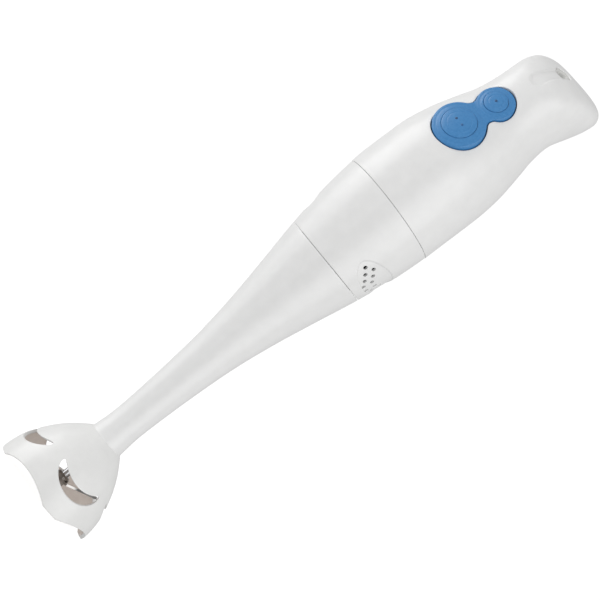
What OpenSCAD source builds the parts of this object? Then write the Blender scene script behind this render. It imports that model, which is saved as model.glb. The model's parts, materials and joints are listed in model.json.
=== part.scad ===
// Two-speed immersion blender: hand-held motor unit with a twist-off blending stick.
// Z runs along the motor shaft from the rim of the blade guard up to the handle's end,
// the buttons face -Y, and Z = 0 is the plane of the guard's four feet. Millimetres.

/* [Lengths along the shaft] */
// Height of the handle's end face
end_z = 357; // [356:0.5:358]
// Height of the seam between the stick and the motor collar
stick_seam_z = 193.5; // [192.5:0.5:194.5]
// Height of the seam between the motor collar and the handle shell
handle_seam_z = 236; // [235:0.5:238]
// Height of the crease where the blade guard meets the stick
guard_top_z = 44.3; // [43.5:0.1:45]

/* [Housing] */
// Wall of the handle, the collar and the stick
wall = 2.4; // [2:0.1:2.8]
// Wall of the blade guard
guard_wall = 2; // [1.6:0.1:2.4]
// Slope of the handle seam, higher at the front
seam_slope = 0.09; // [0:0.01:0.1]
// Opening of each seam
seam_gap = 0.5; // [0.3:0.1:0.8]
// Radius of the rounding at the handle's end
end_round = 8; // [7:0.5:9]

/* [Blade guard] */
// Height of the four arches between the feet
arch_h = 5.4; // [5:0.1:6.5]
// Radius of each arch
arch_r = 36; // [34:1:38]
// Half width of a window
window_w = 14.7; // [13.5:0.1:15]
// Height of a window's lower edge
window_low_z = 12.6; // [12:0.1:13.5]
// Height of a window's two ends
window_end_z = 22.5; // [22:0.1:23.5]
// Height of the middle of a window's upper edge
window_top_z = 19.6; // [19:0.1:20.5]
// Radius of a window's upper edge
window_top_r = 22.8; // [22:0.2:25]

/* [Blade] */
// Radius that the blade sweeps
blade_r = 22.5; // [20:0.5:24]
// Height of the underside of the blade's hub
blade_z = 12.6; // [12:0.1:13]
// Thickness of the blade
blade_t = 1.2; // [1:0.1:1.4]
// Radius of the drive shaft in the stick
drive_r = 2.25; // [2:0.05:2.5]

/* [Buttons] */
// Distance between the centres of the two buttons
button_span = 23.7; // [23:0.1:24.5]
// Radius of the membrane's lobe round the high-speed button
high_lobe_r = 14.3; // [14:0.1:14.6]
// Radius of the membrane's lobe round the low-speed button
low_lobe_r = 10.4; // [10.2:0.1:10.7]
// Radius of the high-speed button
high_r = 9.3; // [9:0.1:9.5]
// Radius of the low-speed button
low_r = 6.3; // [6:0.1:6.5]
// Tilt of the button face from the shaft
button_tilt = 20; // [19:0.5:21]
// Travel of each button
button_travel = 1.8; // [1.2:0.1:1.8]

/* [Motor] */
// Radius of the stator stack
stator_r = 22.5; // [22:0.1:23]
// Height of the stator's lower end
stator_z = 216; // [215.5:0.5:217]
// Length of the stator stack
stator_h = 24; // [22:1:24]
// Radius of the armature
armature_r = 11.6; // [11.4:0.1:11.7]
// Radius of the motor shaft
shaft_r = 2.5; // [2.4:0.05:2.5]
// Radius of the cooling fan
fan_r = 17.4; // [16:0.1:17.6]

/* [Cord inlet] */
// Radius of the hole that takes the mains cord
cord_r = 2.8; // [2.5:0.1:3]
// Distance of the inlet behind the shaft
inlet_y = 7; // [6:0.5:8]

/* [Hidden] */
$fn = 64;
run_gap = 0.05;
loose_gap = 0.3;
over = 1;

white = "#f4f4f2";
blue = "#4a92cc";
steel = "#b9bcc0";
copper = "#b8672f";
black = "#2b2c2f";
brass = "#c9a24b";

// Outer radius of the stick and the collar at a few heights.
body_form = [
    [44, 10.8], [56, 9.9], [70, 10.1], [95, 11.4], [120, 13.5], [145, 17.2],
    [170, 22], [195, 26.95], [220, 30.7], [245, 32.4], [258, 32.5]
];

// Outer radius of the blade guard at a few heights.
guard_form = [
    [0, 32.4], [6, 32], [12, 31], [18, 29.1], [24, 26.3], [30, 23],
    [36, 18.8], [41, 14.4], [44.5, 11]
];

// Height, front depth, back depth, half width and squareness of the handle's sections.
handle_form = [
    [236, 32.1, 32.1, 32.1, 2], [245, 32.4, 32.4, 32.4, 2], [258, 32.1, 34.5, 32.2, 2],
    [272, 31.2, 36.4, 31.3, 2.1], [286, 27.2, 36.6, 29.2, 2.2], [300, 22.2, 36, 25.6, 2.3],
    [312, 17.6, 35.8, 22.4, 2.3], [323, 14.6, 37, 21.2, 2.3], [334, 12.4, 44.4, 21.4, 2.4],
    [342, 9.2, 48, 22.4, 2.4], [348, 3, 48.6, 22.8, 2.4], [353, -5, 48.2, 22.6, 2.4],
    [358, -14, 47.6, 22.2, 2.4]
];

// Smooth curve through column c of a table whose first column rises.
function slope(tab, c, i) =
    let (a = max(0, i - 1), b = min(len(tab) - 1, i + 1))
    (tab[b][c] - tab[a][c]) / (tab[b][0] - tab[a][0]);
function section_at(tab, x) =
    max(0, min(len(tab) - 2, len([for (row = tab) if (row[0] <= x) 1]) - 1));
function read(tab, c, x) =
    let (
        i = section_at(tab, x),
        h = tab[i + 1][0] - tab[i][0],
        t = (x - tab[i][0]) / h,
        m0 = slope(tab, c, i) * h,
        m1 = slope(tab, c, i + 1) * h
    )
    tab[i][c] * (2 * t * t * t - 3 * t * t + 1) + m0 * (t * t * t - 2 * t * t + t)
    + tab[i + 1][c] * (3 * t * t - 2 * t * t * t) + m1 * (t * t * t - t * t);

// Points of a revolved profile between two heights, stepped by about 3 mm.
function profile(tab, z0, z1, inset = 0, step = 3) =
    let (n = ceil(abs(z1 - z0) / step))
    [for (i = [0 : n]) let (z = z0 + (z1 - z0) * i / n) [read(tab, 1, z) - inset, z]];

// A closed skin over rings of points that turn anticlockwise about their path.
module skin(rings) {
    sides = len(rings[0]);
    last = len(rings) - 1;
    polyhedron(
        points = [for (ring = rings) each ring],
        faces = concat(
            [[for (j = [0 : sides - 1]) j]],
            [for (i = [0 : last - 1], j = [0 : sides - 1])
                let (k = (j + 1) % sides, a = i * sides, b = a + sides)
                each [[a + j, b + j, b + k], [a + j, b + k, a + k]]],
            [[for (j = [sides - 1 : -1 : 0]) last * sides + j]]
        )
    );
}

// A wire of radius r along a smooth curve through hand-placed points.
function curve_point(pts, t) =
    let (
        n = len(pts) - 1,
        i = min(n - 1, floor(t)),
        f = t - i,
        m0 = (pts[i + 1] - pts[max(0, i - 1)]) / 2,
        m1 = (pts[min(n, i + 2)] - pts[i]) / 2
    )
    pts[i] * (2 * f * f * f - 3 * f * f + 1) + m0 * (f * f * f - 2 * f * f + f)
    + pts[i + 1] * (3 * f * f - 2 * f * f * f) + m1 * (f * f * f - f * f);
function unit(v) = v / norm(v);
module wire(pts, r, per_span = 4, sides = 8) {
    steps = (len(pts) - 1) * per_span;
    skin([for (i = [0 : steps])
        let (
            t = i / per_span,
            p = curve_point(pts, t),
            ahead = curve_point(pts, min(len(pts) - 1, t + 0.01)),
            behind = curve_point(pts, max(0, t - 0.01)),
            along = unit(ahead - behind),
            side = unit(cross(along, [1, 0.2, 0.1])),
            up = cross(along, side)
        )
        [for (j = [0 : sides - 1])
            p + r * (cos(360 * j / sides) * side + sin(360 * j / sides) * up)]]);
}

// A helical spring of wire radius r, coil radius big, along Z from z0 to z1.
module coil_spring(big, r, z0, z1, turns) {
    per_turn = 12;
    sides = 6;
    rise = z1 - z0 - 2 * r;
    skin([for (i = [0 : turns * per_turn])
        let (a = 360 * i / per_turn, z = z0 + r + rise * i / (turns * per_turn))
        [for (j = [0 : sides - 1])
            let (b = -360 * j / sides, d = big + r * cos(b))
            [d * cos(a), d * sin(a), z + r * sin(b)]]]);
}

// A ring about Z between two heights, whole or over an arc.
module ring(z0, z1, r_in, r_out) {
    rotate_extrude() translate([r_in, z0]) square([r_out - r_in, z1 - z0]);
}
module arc_ring(z0, z1, r_in, r_out, middle, width) {
    rotate([0, 0, middle - width / 2])
        rotate_extrude(angle = width)
            translate([r_in, z0]) square([r_out - r_in, z1 - z0]);
}
module rod(z0, z1, r) {
    translate([0, 0, z0]) cylinder(h = z1 - z0, r = r);
}
module pair_x(d) {
    for (side = [-1, 1]) translate([side * d, 0, 0]) children();
}

// ---------------------------------------------------------------- stick and guard
bush_r = 4.5;
upper_bush_z = 163;
upper_bush_top = 173.5;
lower_bush_z = 35;
lower_bush_top = 47;
tube_end_z = 34;
spigot_r = 8;
socket_floor_z = 180;
socket_r = 21.6;
lug_w = 26;
lug_h = 2.4;
lug_count = 3;
stick_lug_z = 187.8;
collar_lug_z = 185;
collar_spigot_r = 19.8;
collar_spigot_z = 184;
spigot_wall = 2.2;
web_z = 166;
web_t = 3;
web_boss_r = bush_r + 2.7;
hollow_z = lower_bush_top + 1.5;
stick_top = stick_seam_z - seam_gap / 2;
collar_bottom = stick_seam_z + seam_gap / 2;

module stick_tube() {
    color(white) {
        rotate_extrude() difference() {
            polygon(concat(
                [[0, tube_end_z], [spigot_r, tube_end_z], [spigot_r, guard_top_z]],
                profile(body_form, guard_top_z, stick_top - 0.8),
                [[read(body_form, 1, stick_top) - 0.8, stick_top], [0, stick_top]]
            ));
            polygon(concat(
                [[0, hollow_z], [6, hollow_z]],
                profile(body_form, hollow_z + 5.5, socket_floor_z, wall),
                [[socket_r, socket_floor_z], [socket_r, stick_top + over],
                 [0, stick_top + over]]
            ));
            translate([0, tube_end_z - over]) square([bush_r, hollow_z - tube_end_z + 2 * over]);
        }
        // web that carries the upper bush
        rotate_extrude() polygon([
            [bush_r, upper_bush_z - 1], [web_boss_r, upper_bush_z - 1],
            [web_boss_r, web_z], [read(body_form, 1, web_z) - wall + 0.6, web_z],
            [read(body_form, 1, web_z + web_t) - wall + 0.6, web_z + web_t],
            [web_boss_r, web_z + web_t], [web_boss_r, upper_bush_top + 0.5],
            [bush_r, upper_bush_top + 0.5]
        ]);
        for (i = [0 : lug_count - 1])
            arc_ring(stick_lug_z, stick_lug_z + lug_h, collar_spigot_r + 0.4, socket_r + 0.5,
                     i * 360 / lug_count, lug_w);
    }
}

// Outline of a window: half an ellipse below and an arc above, with blunt ends.
function window_outline() =
    let (mid = window_top_z + window_top_r)
    concat(
        [for (a = [180 : 12 : 360])
            [window_w * cos(a), window_end_z + (window_end_z - window_low_z) * sin(a)]],
        [for (i = [5 : -1 : -5])
            let (x = 0.96 * window_w * i / 5) [x, mid - sqrt(pow(window_top_r, 2) - x * x)]]
    );
module blade_guard() {
    seal_seat_z = 29.5;
    seal_seat_r = 6.6;
    hub_z = 27;
    inner_top = 36;
    window_from = 17;
    window_depth = 25;
    color(white) difference() {
        rotate_extrude() difference() {
            polygon(concat(
                [[0, 0]],
                profile(guard_form, 0, guard_top_z),
                [[0, guard_top_z]]
            ));
            // the hollow inside, round the hub that holds the stick and the seal
            polygon(concat(
                [[0, -over], [read(guard_form, 1, 0) - guard_wall, -over]],
                profile(guard_form, 0, inner_top, guard_wall),
                [[11, inner_top + 1.2], [9.4, inner_top], [9, hub_z], [0, hub_z]]
            ));
            square([3.4, guard_top_z + over]);
            translate([0, seal_seat_z]) square([seal_seat_r, guard_top_z]);
            translate([0, tube_end_z - 0.2]) square([spigot_r + 0.05, guard_top_z]);
        }
        for (turn = [0, 90]) rotate([90, 0, turn])
            translate([0, arch_h - arch_r, -50]) cylinder(h = 100, r = arch_r, $fn = 96);
        for (turn = [45 : 90 : 315]) rotate([90, 0, turn])
            translate([0, 0, window_from]) linear_extrude(window_depth)
                polygon(window_outline());
    }
}

module upper_bush() {
    color(brass) ring(upper_bush_z, upper_bush_top, drive_r + run_gap, bush_r);
}
module lower_bush() {
    color(brass) ring(lower_bush_z, lower_bush_top, drive_r + run_gap, bush_r);
}
module shaft_seal() {
    color(black) rotate_extrude() polygon([
        [drive_r + run_gap, 30.4], [3.2, 29.6], [6.6, 29.6], [6.6, 33.6], [4, 33.6],
        [4, 31.6], [drive_r + run_gap, 31.6]
    ]);
}

// ---------------------------------------------------------------- blade drive
socket_top = 190;
socket_hub_z = 174.6;
dog_r = 5.8;
dog_z = 180;
dog_h = 10.4;

shaft_end_z = 179.4;
socket_well_z = 179.6;
nut_z = 10.2;
module drive_shaft() {
    color(steel) rod(nut_z + 0.3, shaft_end_z, drive_r);
}
module coupling_socket() {
    color(black) difference() {
        rotate_extrude() polygon([
            [drive_r, socket_hub_z], [5.2, socket_hub_z], [5.2, 177.4], [8.6, 178.6],
            [8.6, socket_top], [0, socket_top], [0, shaft_end_z], [drive_r, shaft_end_z]
        ]);
        translate([0, 0, socket_well_z]) cylinder(h = 20, r = dog_r + 0.45, $fn = 6);
    }
}
// One wing: a flat root, then a swept tip bent by lift degrees.
module blade_wing(lift) {
    root = 5;
    linear_extrude(blade_t) difference() {
        translate([0, -4]) square([root + 0.3, 8]);
        circle(r = drive_r);
    }
    translate([root, 0, 0]) rotate([0, -lift, 0]) linear_extrude(blade_t)
        intersection() {
            translate([-root, 0]) circle(r = blade_r);
            difference() {
                translate([-0.3, -4]) square([blade_r, 13]);
                translate([4, 25.2]) circle(r = 21.6, $fn = 96);
                translate([14, -29]) circle(r = 29, $fn = 96);
            }
        }
}
blade_turn = 20;
module blade() {
    color(steel) translate([0, 0, blade_z]) rotate([0, 0, blade_turn]) {
        blade_wing(26);
        rotate([0, 0, 180]) blade_wing(-5);
    }
}
module blade_spacer() {
    low = blade_z + blade_t;
    color(steel) rotate_extrude() polygon([
        [drive_r, low], [4.2, low], [4.2, low + 1], [3.4, low + 2.2], [drive_r, low + 2.2]
    ]);
}
module blade_nut() {
    color(steel) translate([0, 0, nut_z]) difference() {
        cylinder(h = blade_z - nut_z, r = 4, $fn = 6);
        translate([0, 0, -over]) cylinder(h = 20, r = drive_r);
    }
}

// ---------------------------------------------------------------- motor collar
floor_t = 2.5;
collar_floor_top = collar_bottom + floor_t;
boss_hole_r = 8.3;
bearing_r = 5;
screw_ring_r = 13;
lip_top = handle_seam_z + 7;

function seam_z(y) = handle_seam_z - seam_slope * y;

module collar_blank() {
    rotate_extrude() difference() {
        polygon(concat(
            [[0, collar_bottom], [read(body_form, 1, collar_bottom) - 0.4, collar_bottom]],
            profile(body_form, collar_bottom + 0.4, handle_seam_z + 4),
            [[0, handle_seam_z + 4]]
        ));
        polygon(concat(
            [[0, collar_floor_top]],
            profile(body_form, collar_floor_top, handle_seam_z + 5, wall),
            [[0, handle_seam_z + 5]]
        ));
        square([boss_hole_r, 300]);
    }
}
vent_rows = [[200, 4], [205.1, 3]];
vent_first = 5.5;
vent_pitch = 8.1;
vent_rise = 2.35;
vent_r = 1.15;
module vent_holes() {
    for (side = [0, 180], row = vent_rows, i = [0 : row[1] - 1], flank = [-1, 1])
        rotate([0, 0, side + flank * (vent_first + i * vent_pitch)])
            translate([22, 0, row[0] + i * vent_rise])
                rotate([0, 90, 0]) cylinder(h = 12, r = vent_r);
}
module motor_collar() {
    tilt = atan(seam_slope);
    color(white) {
        difference() {
            collar_blank();
            translate([0, 0, handle_seam_z - seam_gap / 2]) rotate([-tilt, 0, 0])
                translate([-50, -50, 0]) cube([100, 100, 20]);
            vent_holes();
            for (i = [0 : 2]) rotate([0, 0, 60 + 120 * i]) translate([screw_ring_r, 0, 190])
                cylinder(h = 10, r = 1.7);
        }
        // bayonet spigot that hangs into the stick
        ring(collar_spigot_z, collar_bottom + 1, collar_spigot_r - spigot_wall,
             collar_spigot_r);
        for (i = [0 : lug_count - 1])
            arc_ring(collar_lug_z, collar_lug_z + lug_h, collar_spigot_r - 0.5,
                     socket_r - 0.4, i * 360 / lug_count, lug_w);
        // lip that the handle shell slides over
        lip_r = read(body_form, 1, handle_seam_z) - wall - 0.15;
        rotate_extrude() polygon([
            [lip_r - 1.6, 228], [read(body_form, 1, 228) - wall + 0.3, 228],
            [read(body_form, 1, 232) - wall + 0.3, 232], [lip_r, 233.5], [lip_r, lip_top],
            [lip_r - 1.6, lip_top]
        ]);
    }
}

// ---------------------------------------------------------------- handle shell
sides = 40;
mid_ring_step = 6;
function power(v, p) = sign(v) * pow(abs(v), p);
function handle_point(z, a, inset) =
    let (
        front = read(handle_form, 1, z),
        back = read(handle_form, 2, z),
        half = read(handle_form, 3, z) - inset,
        p = 2 / read(handle_form, 4, z),
        deep = (front + back) / 2 - inset
    )
    [half * power(cos(a), p), (back - front) / 2 + deep * power(sin(a), p), z];
function handle_ring(z, inset, low) =
    [for (i = [0 : sides - 1])
        let (
            a = 360 * i / sides,
            fade = max(0, 1 - (z - low) / 30),
            lift = -seam_slope * 32 * sin(a) * fade
        )
        handle_point(z + lift, a, inset)];
function handle_rings(inset, low) =
    let (
        top = end_z - inset,
        round_r = end_round - inset,
        first = low + 0.01,
        n = ceil((top - round_r - first) / mid_ring_step)
    )
    concat(
        [for (i = [0 : n - 1]) handle_ring(first + (top - round_r - first) * i / n, inset, low)],
        [for (f = [0 : 22.5 : 90])
            handle_ring(top - round_r + round_r * sin(f), inset + round_r * (1 - cos(f)), low)]
    );
function reversed(list) = [for (i = [len(list) - 1 : -1 : 0]) list[i]];

// The frame of the two buttons: local Z points out of the handle, local Y up its front.
button_y = -20.3;
button_z = 302.7;
module at_buttons() {
    translate([0, button_y, button_z]) rotate([90 - button_tilt, 0, 0]) children();
}
high_v = -button_span / 2;
low_v = button_span / 2;
waist_r = 4.5;
module peanut(grow) {
    big = high_lobe_r + waist_r;
    small = low_lobe_r + waist_r;
    across = (big * big - small * small + button_span * button_span) / (2 * button_span);
    out = sqrt(big * big - across * across);
    translate([0, high_v]) circle(r = high_lobe_r + grow);
    translate([0, low_v]) circle(r = low_lobe_r + grow);
    difference() {
        polygon([[0, high_v], [out, high_v + across], [0, low_v], [-out, high_v + across]]);
        for (side = [-1, 1]) translate([side * out, high_v + across])
            circle(r = waist_r - grow);
    }
}

inlet_hole_r = cord_r + 2.1;
module handle_shell() {
    color(white) difference() {
        skin(concat(
            reversed(handle_rings(wall, handle_seam_z + seam_gap / 2)),
            handle_rings(0, handle_seam_z + seam_gap / 2)
        ));
        at_buttons() translate([0, 0, -9]) linear_extrude(20) peanut(0.4);
        translate([0, inlet_y, 336]) cylinder(h = 30, r = inlet_hole_r);
    }
}

// ---------------------------------------------------------------- buttons
skirt_w = -5.5;
rim_w = 0.7;
cap_under_w = -4;
guide_w = -8.5;
guide_t = 1.5;
stem_r = 2;
stem_end_w = -10.4;
switch_top_w = stem_end_w - button_travel - 0.4;
board_w = -17.6;
board_t = 1.6;

// Height of a lobe's dome at distance r from its centre.
function dome(r, lobe_r, rise) = rim_w + rise * (1 - pow(r / lobe_r, 2));
high_rise = 2.3;
low_rise = 1.7;
// Points over a lobe's dome from radius r0 to r1.
function dome_points(r0, r1, lobe_r, rise, lift = 0) =
    [for (i = [0 : 6]) let (r = r0 + (r1 - r0) * i / 6) [r, dome(r, lobe_r, rise) + lift]];

module membrane_lobe(lobe_r, cap_r, rise) {
    rotate_extrude() polygon(concat(
        [[cap_r + loose_gap, skirt_w], [lobe_r, skirt_w]],
        dome_points(lobe_r, cap_r + loose_gap, lobe_r, rise)
    ));
}
module button_membrane() {
    color(blue) at_buttons() {
        translate([0, high_v, 0]) membrane_lobe(high_lobe_r, high_r, high_rise);
        translate([0, low_v, 0]) membrane_lobe(low_lobe_r, low_r, low_rise);
        translate([0, 0, skirt_w]) linear_extrude(rim_w - skirt_w) difference() {
            peanut(0);
            translate([0, high_v]) circle(r = high_lobe_r - 1);
            translate([0, low_v]) circle(r = low_lobe_r - 1);
        }
    }
}
module button_cap(lobe_r, cap_r, rise) {
    rotate_extrude() polygon(concat(
        [[0, stem_end_w], [stem_r, stem_end_w], [stem_r, cap_under_w], [cap_r, cap_under_w]],
        dome_points(cap_r, 0, lobe_r, rise, 0.25)
    ));
}
module plunger() {
    rod(stem_end_w - 4.2, stem_end_w, 1.1);
}
module micro_switch() {
    bore_r = 1.4;
    translate([0, 0, board_w]) difference() {
        translate([-6.4, -2.9, 0]) cube([12.8, 5.8, switch_top_w - board_w]);
        rod(0.8, 20, bore_r);
    }
}
module button_spring() {
    coil_spring(3.2, 0.25, guide_w, cap_under_w, 4);
}
module high_speed_button() {
    color(blue) at_buttons() translate([0, high_v, 0]) button_cap(high_lobe_r, high_r, high_rise);
}
module low_speed_button() {
    color(blue) at_buttons() translate([0, low_v, 0]) button_cap(low_lobe_r, low_r, low_rise);
}
module high_speed_plunger() {
    color(black) at_buttons() translate([0, high_v, 0]) plunger();
}
module low_speed_plunger() {
    color(black) at_buttons() translate([0, low_v, 0]) plunger();
}
module high_speed_spring() {
    color(steel) at_buttons() translate([0, high_v, 0]) button_spring();
}
module low_speed_spring() {
    color(steel) at_buttons() translate([0, low_v, 0]) button_spring();
}
module high_speed_switch() {
    color(black) at_buttons() translate([0, high_v, 0]) micro_switch();
}
module low_speed_switch() {
    color(black) at_buttons() translate([0, low_v, 0]) micro_switch();
}

post_u = 9.6;
module switch_carrier() {
    color("#d9dadb") at_buttons() {
        translate([0, 0, guide_w - guide_t]) linear_extrude(guide_t) difference() {
            polygon([[-15, -18], [15, -18], [12, 18], [-12, 18]]);
            translate([0, high_v]) circle(r = stem_r + loose_gap);
            translate([0, low_v]) circle(r = stem_r + loose_gap);
        }
        pair_x(post_u) difference() {
            rod(board_w, guide_w - guide_t, 2.4);
            rod(board_w - over, guide_w - guide_t - 2, 1.1);
        }
    }
}
module switch_board() {
    color("#3c6b3a") at_buttons() translate([0, 0, board_w - board_t]) linear_extrude(board_t)
        difference() {
            translate([-12.5, -16]) square([25, 34]);
            pair_x(post_u) circle(r = 1.4);
        }
}
module board_screws() {
    color(steel) at_buttons() pair_x(post_u) {
        rod(board_w - board_t - 1.8, board_w - board_t, 2.4);
        rod(board_w - board_t - 0.5, board_w + 4.5, 1.1);
    }
}
module speed_diode() {
    color(black) at_buttons() translate([-3, 4, board_w - board_t - 1.6])
        rotate([0, 90, 0]) cylinder(h = 6, r = 1.5);
}
module suppressor_capacitor() {
    color("#c8a02c") at_buttons() translate([-6.5, 8, board_w - board_t - 9.2])
        cube([13, 6.5, 9]);
}

// ---------------------------------------------------------------- cord inlet
gland_flange_z = 334;
gland_top_z = 350;
clamp_z = 330;
ear_x = 10;
module ear_plate(r_hole, ear_hole, t) {
    ear_r = 3.2;
    linear_extrude(t) difference() {
        union() {
            circle(r = 7.2);
            translate([-ear_x, -ear_r]) square([2 * ear_x, 2 * ear_r]);
            pair_x(ear_x) circle(r = ear_r);
        }
        circle(r = r_hole);
        pair_x(ear_x) circle(r = ear_hole);
    }
}
module cord_gland() {
    color("#d9dadb") translate([0, inlet_y, 0]) {
        translate([0, 0, gland_flange_z]) ear_plate(cord_r, 1.3, 2.5);
        ring(gland_flange_z, gland_top_z, cord_r, cord_r + 1.9);
    }
}
module cord_clamp() {
    color("#d9dadb") translate([0, inlet_y, clamp_z])
        ear_plate(cord_r - 0.3, 1.7, gland_flange_z - clamp_z - 0.4);
}
module clamp_screws() {
    color(steel) translate([0, inlet_y, 0]) pair_x(ear_x) {
        rod(clamp_z - 2, clamp_z, 2.6);
        rod(clamp_z - 1, gland_flange_z + 2.3, 1.3);
    }
}

// Four insulated leads: cord to board, cord to motor, and two from board to motor.
lead_r = 1.1;
lead_paths = [
    [[2, 5, 329], [7, 9, 321], [9.5, 9.6, 315.5], [9, 5.2, 310.7]],
    [[-2, 8, 329], [-6, 17, 312], [-6, 22, 292], [-4, 19, 274], [-4, 16, 263]],
    [[-9, -3.8, 286.7], [-11, 1.2, 280], [-11, -3, 271], [-11, -9, 263]],
    [[9, -3.8, 286.7], [11, 1.2, 280], [11, -3, 271], [11, -9, 263]]
];
module internal_leads() {
    color("#7a4a2a") for (path = lead_paths) wire(path, lead_r);
}

// ---------------------------------------------------------------- motor, fixed parts
post_x = 20.4;
stator_top = stator_z + stator_h;
air_gap = 0.5;
upper_plate_z = 259;
plate_t = 2.5;
plate_r = 23.3;
brush_z = 251;
commutator_z = 246;
commutator_h = 9.6;
fan_z = 200.5;
fan_hub_h = 8;
rotor_low_z = 183.5;
rotor_top_z = 267.3;
lower_bearing_z = 191.5;
upper_bearing_z = 259.5;
upper_bearing_top = 267;
bracket_z = collar_floor_top;
bracket_low_z = lower_bearing_z - 0.3;
bracket_t = 2;

module stator_core() {
    shoe = 14;
    color("#8d9196") translate([0, 0, stator_z]) linear_extrude(stator_h) difference() {
        intersection() {
            circle(r = stator_r);
            square([60, 40], center = true);
        }
        circle(r = armature_r + air_gap);
        difference() {
            pair_x(14) square([9, 26], center = true);
            difference() {
                circle(r = shoe);
                square([2 * shoe + 2, 5], center = true);
            }
        }
        pair_x(post_x) circle(r = 1.5);
    }
}
module field_coils() {
    over_end = 4;
    color(copper) for (turn = [0, 180]) rotate([0, 0, turn]) difference() {
        arc_ring(stator_z - over_end - 0.2, stator_top + over_end + 0.2, 14.3, 18.2, 90, 150);
        arc_ring(stator_z - 0.2, stator_top + 0.2, 13, 20, 90, 98);
    }
}
module lower_motor_bracket() {
    color("#c9cbce") {
        rotate_extrude() polygon([
            [bearing_r, bracket_low_z], [boss_hole_r - 0.2, bracket_low_z],
            [boss_hole_r - 0.2, bracket_z], [17, bracket_z], [17, bracket_z + bracket_t],
            [bearing_r, bracket_z + bracket_t]
        ]);
        pair_x(post_x - 4) translate([-4, -4, bracket_z]) cube([8, 8, bracket_t]);
        difference() {
            pair_x(post_x) rod(bracket_z, stator_z, 2);
            pair_x(post_x) rod(bracket_z + bracket_t, stator_z + over, 1.3);
        }
    }
}
module upper_motor_bracket() {
    color("#d9dadb") difference() {
        union() {
            rod(upper_plate_z, upper_plate_z + plate_t, plate_r);
            rod(upper_plate_z - 1, upper_bearing_top + 0.5, 8);
            pair_x(post_x) rod(stator_top, upper_plate_z + over, 2.4);
        }
        rod(stator_z, end_z, bearing_r);
        pair_x(post_x) rod(stator_z, end_z, 1.5);
        for (turn = [35 : 110 : 145]) rotate([0, 0, turn]) translate([16, 0, 0])
            rod(stator_z, end_z, 3);
    }
}
module motor_screws() {
    color(steel) pair_x(post_x) {
        rod(bracket_z + bracket_t + 1, upper_plate_z + plate_t + 0.5, 1.3);
        rod(upper_plate_z + plate_t, upper_plate_z + plate_t + 2.2, 2.7);
    }
}
module bracket_screws() {
    color(steel) for (i = [0 : 2]) rotate([0, 0, 60 + 120 * i])
        translate([screw_ring_r, 0, 0]) {
            rod(collar_bottom - 2, collar_bottom, 2.7);
            rod(collar_bottom - 0.5, collar_floor_top, 1.4);
        }
}
module motor_cushion() {
    color(black) ring(upper_plate_z - 2, upper_plate_z + 4, plate_r + 0.15, 27.6);
}
module upper_bearing() {
    color(brass) ring(upper_bearing_z, upper_bearing_top, shaft_r + run_gap, bearing_r);
}
module lower_bearing() {
    color(brass) ring(lower_bearing_z, bracket_z + bracket_t - 0.25, shaft_r + run_gap, bearing_r);
}
module brush_holders() {
    color(brass) for (turn = [90, 270]) rotate([0, 0, turn]) translate([0, 0, brush_z])
        difference() {
            translate([7.4, -3.4, -2.9]) cube([12.8, 6.8, 5.8]);
            translate([5, -2.6, -2.1]) cube([14, 5.2, 4.2]);
        }
}
module carbon_brushes() {
    color(black) for (turn = [90, 270]) rotate([0, 0, turn])
        translate([6.1, -2.5, brush_z - 2]) cube([8, 5, 4]);
}
module brush_springs() {
    color(steel) for (turn = [90, 270]) rotate([0, 0, turn]) translate([0, 0, brush_z])
        rotate([0, 90, 0]) coil_spring(1.5, 0.2, 14.2, 18.9, 5);
}

// ---------------------------------------------------------------- rotor
module rotor_shaft() {
    color(steel) rod(rotor_low_z, rotor_top_z, shaft_r);
}
slots = 8;
slot_ring_r = 8.6;
module armature_core() {
    color("#8d9196") translate([0, 0, stator_z]) linear_extrude(stator_h) difference() {
        circle(r = armature_r);
        circle(r = shaft_r);
        for (i = [0 : slots - 1]) rotate(i * 360 / slots) {
            translate([slot_ring_r, 0]) circle(r = 1.9);
            translate([slot_ring_r, -0.7]) square([5, 1.4]);
        }
    }
}
module armature_winding() {
    end_h = 4.3;
    color(copper) {
        for (i = [0 : slots - 1]) rotate([0, 0, i * 360 / slots])
            translate([slot_ring_r, 0, 0]) rod(stator_z - 1, stator_top + 1, 1.7);
        for (z = [stator_z - end_h, stator_top])
            rotate_extrude() translate([shaft_r + 1, z]) square([7, end_h]);
    }
}
module commutator() {
    bars = 16;
    color(copper) translate([0, 0, commutator_z]) linear_extrude(commutator_h) difference() {
        circle(r = 5.8);
        circle(r = shaft_r);
        for (i = [0 : bars - 1]) rotate(i * 360 / bars)
            translate([4.8, -0.2]) square([2, 0.4]);
    }
}
module cooling_fan() {
    blades = 9;
    color(black) translate([0, 0, fan_z]) {
        difference() {
            union() {
                cylinder(h = 1.4, r = fan_r);
                cylinder(h = fan_hub_h, r = 5.5);
            }
            translate([0, 0, -over]) cylinder(h = 20, r = shaft_r);
        }
        for (i = [0 : blades - 1]) rotate([0, 0, i * 360 / blades]) linear_extrude(fan_hub_h - 0.6)
            intersection() {
                circle(r = fan_r);
                translate([5, 9]) difference() {
                    circle(r = 10.2);
                    circle(r = 9.2);
                    translate([-20, -2]) square([40, 20]);
                    translate([-20, -20]) square([20, 40]);
                }
            }
    }
}
module thrust_washers() {
    color(steel) {
        ring(fan_z - 2.1, fan_z - 1.5, shaft_r, 4.6);
        ring(commutator_z + commutator_h + 1.6, commutator_z + commutator_h + 2.2, shaft_r, 4.6);
    }
}
module drive_dog() {
    color(black) translate([0, 0, dog_z]) difference() {
        cylinder(h = dog_h, r = dog_r, $fn = 6);
        translate([0, 0, rotor_low_z - dog_z]) cylinder(h = 20, r = shaft_r);
    }
}

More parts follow.
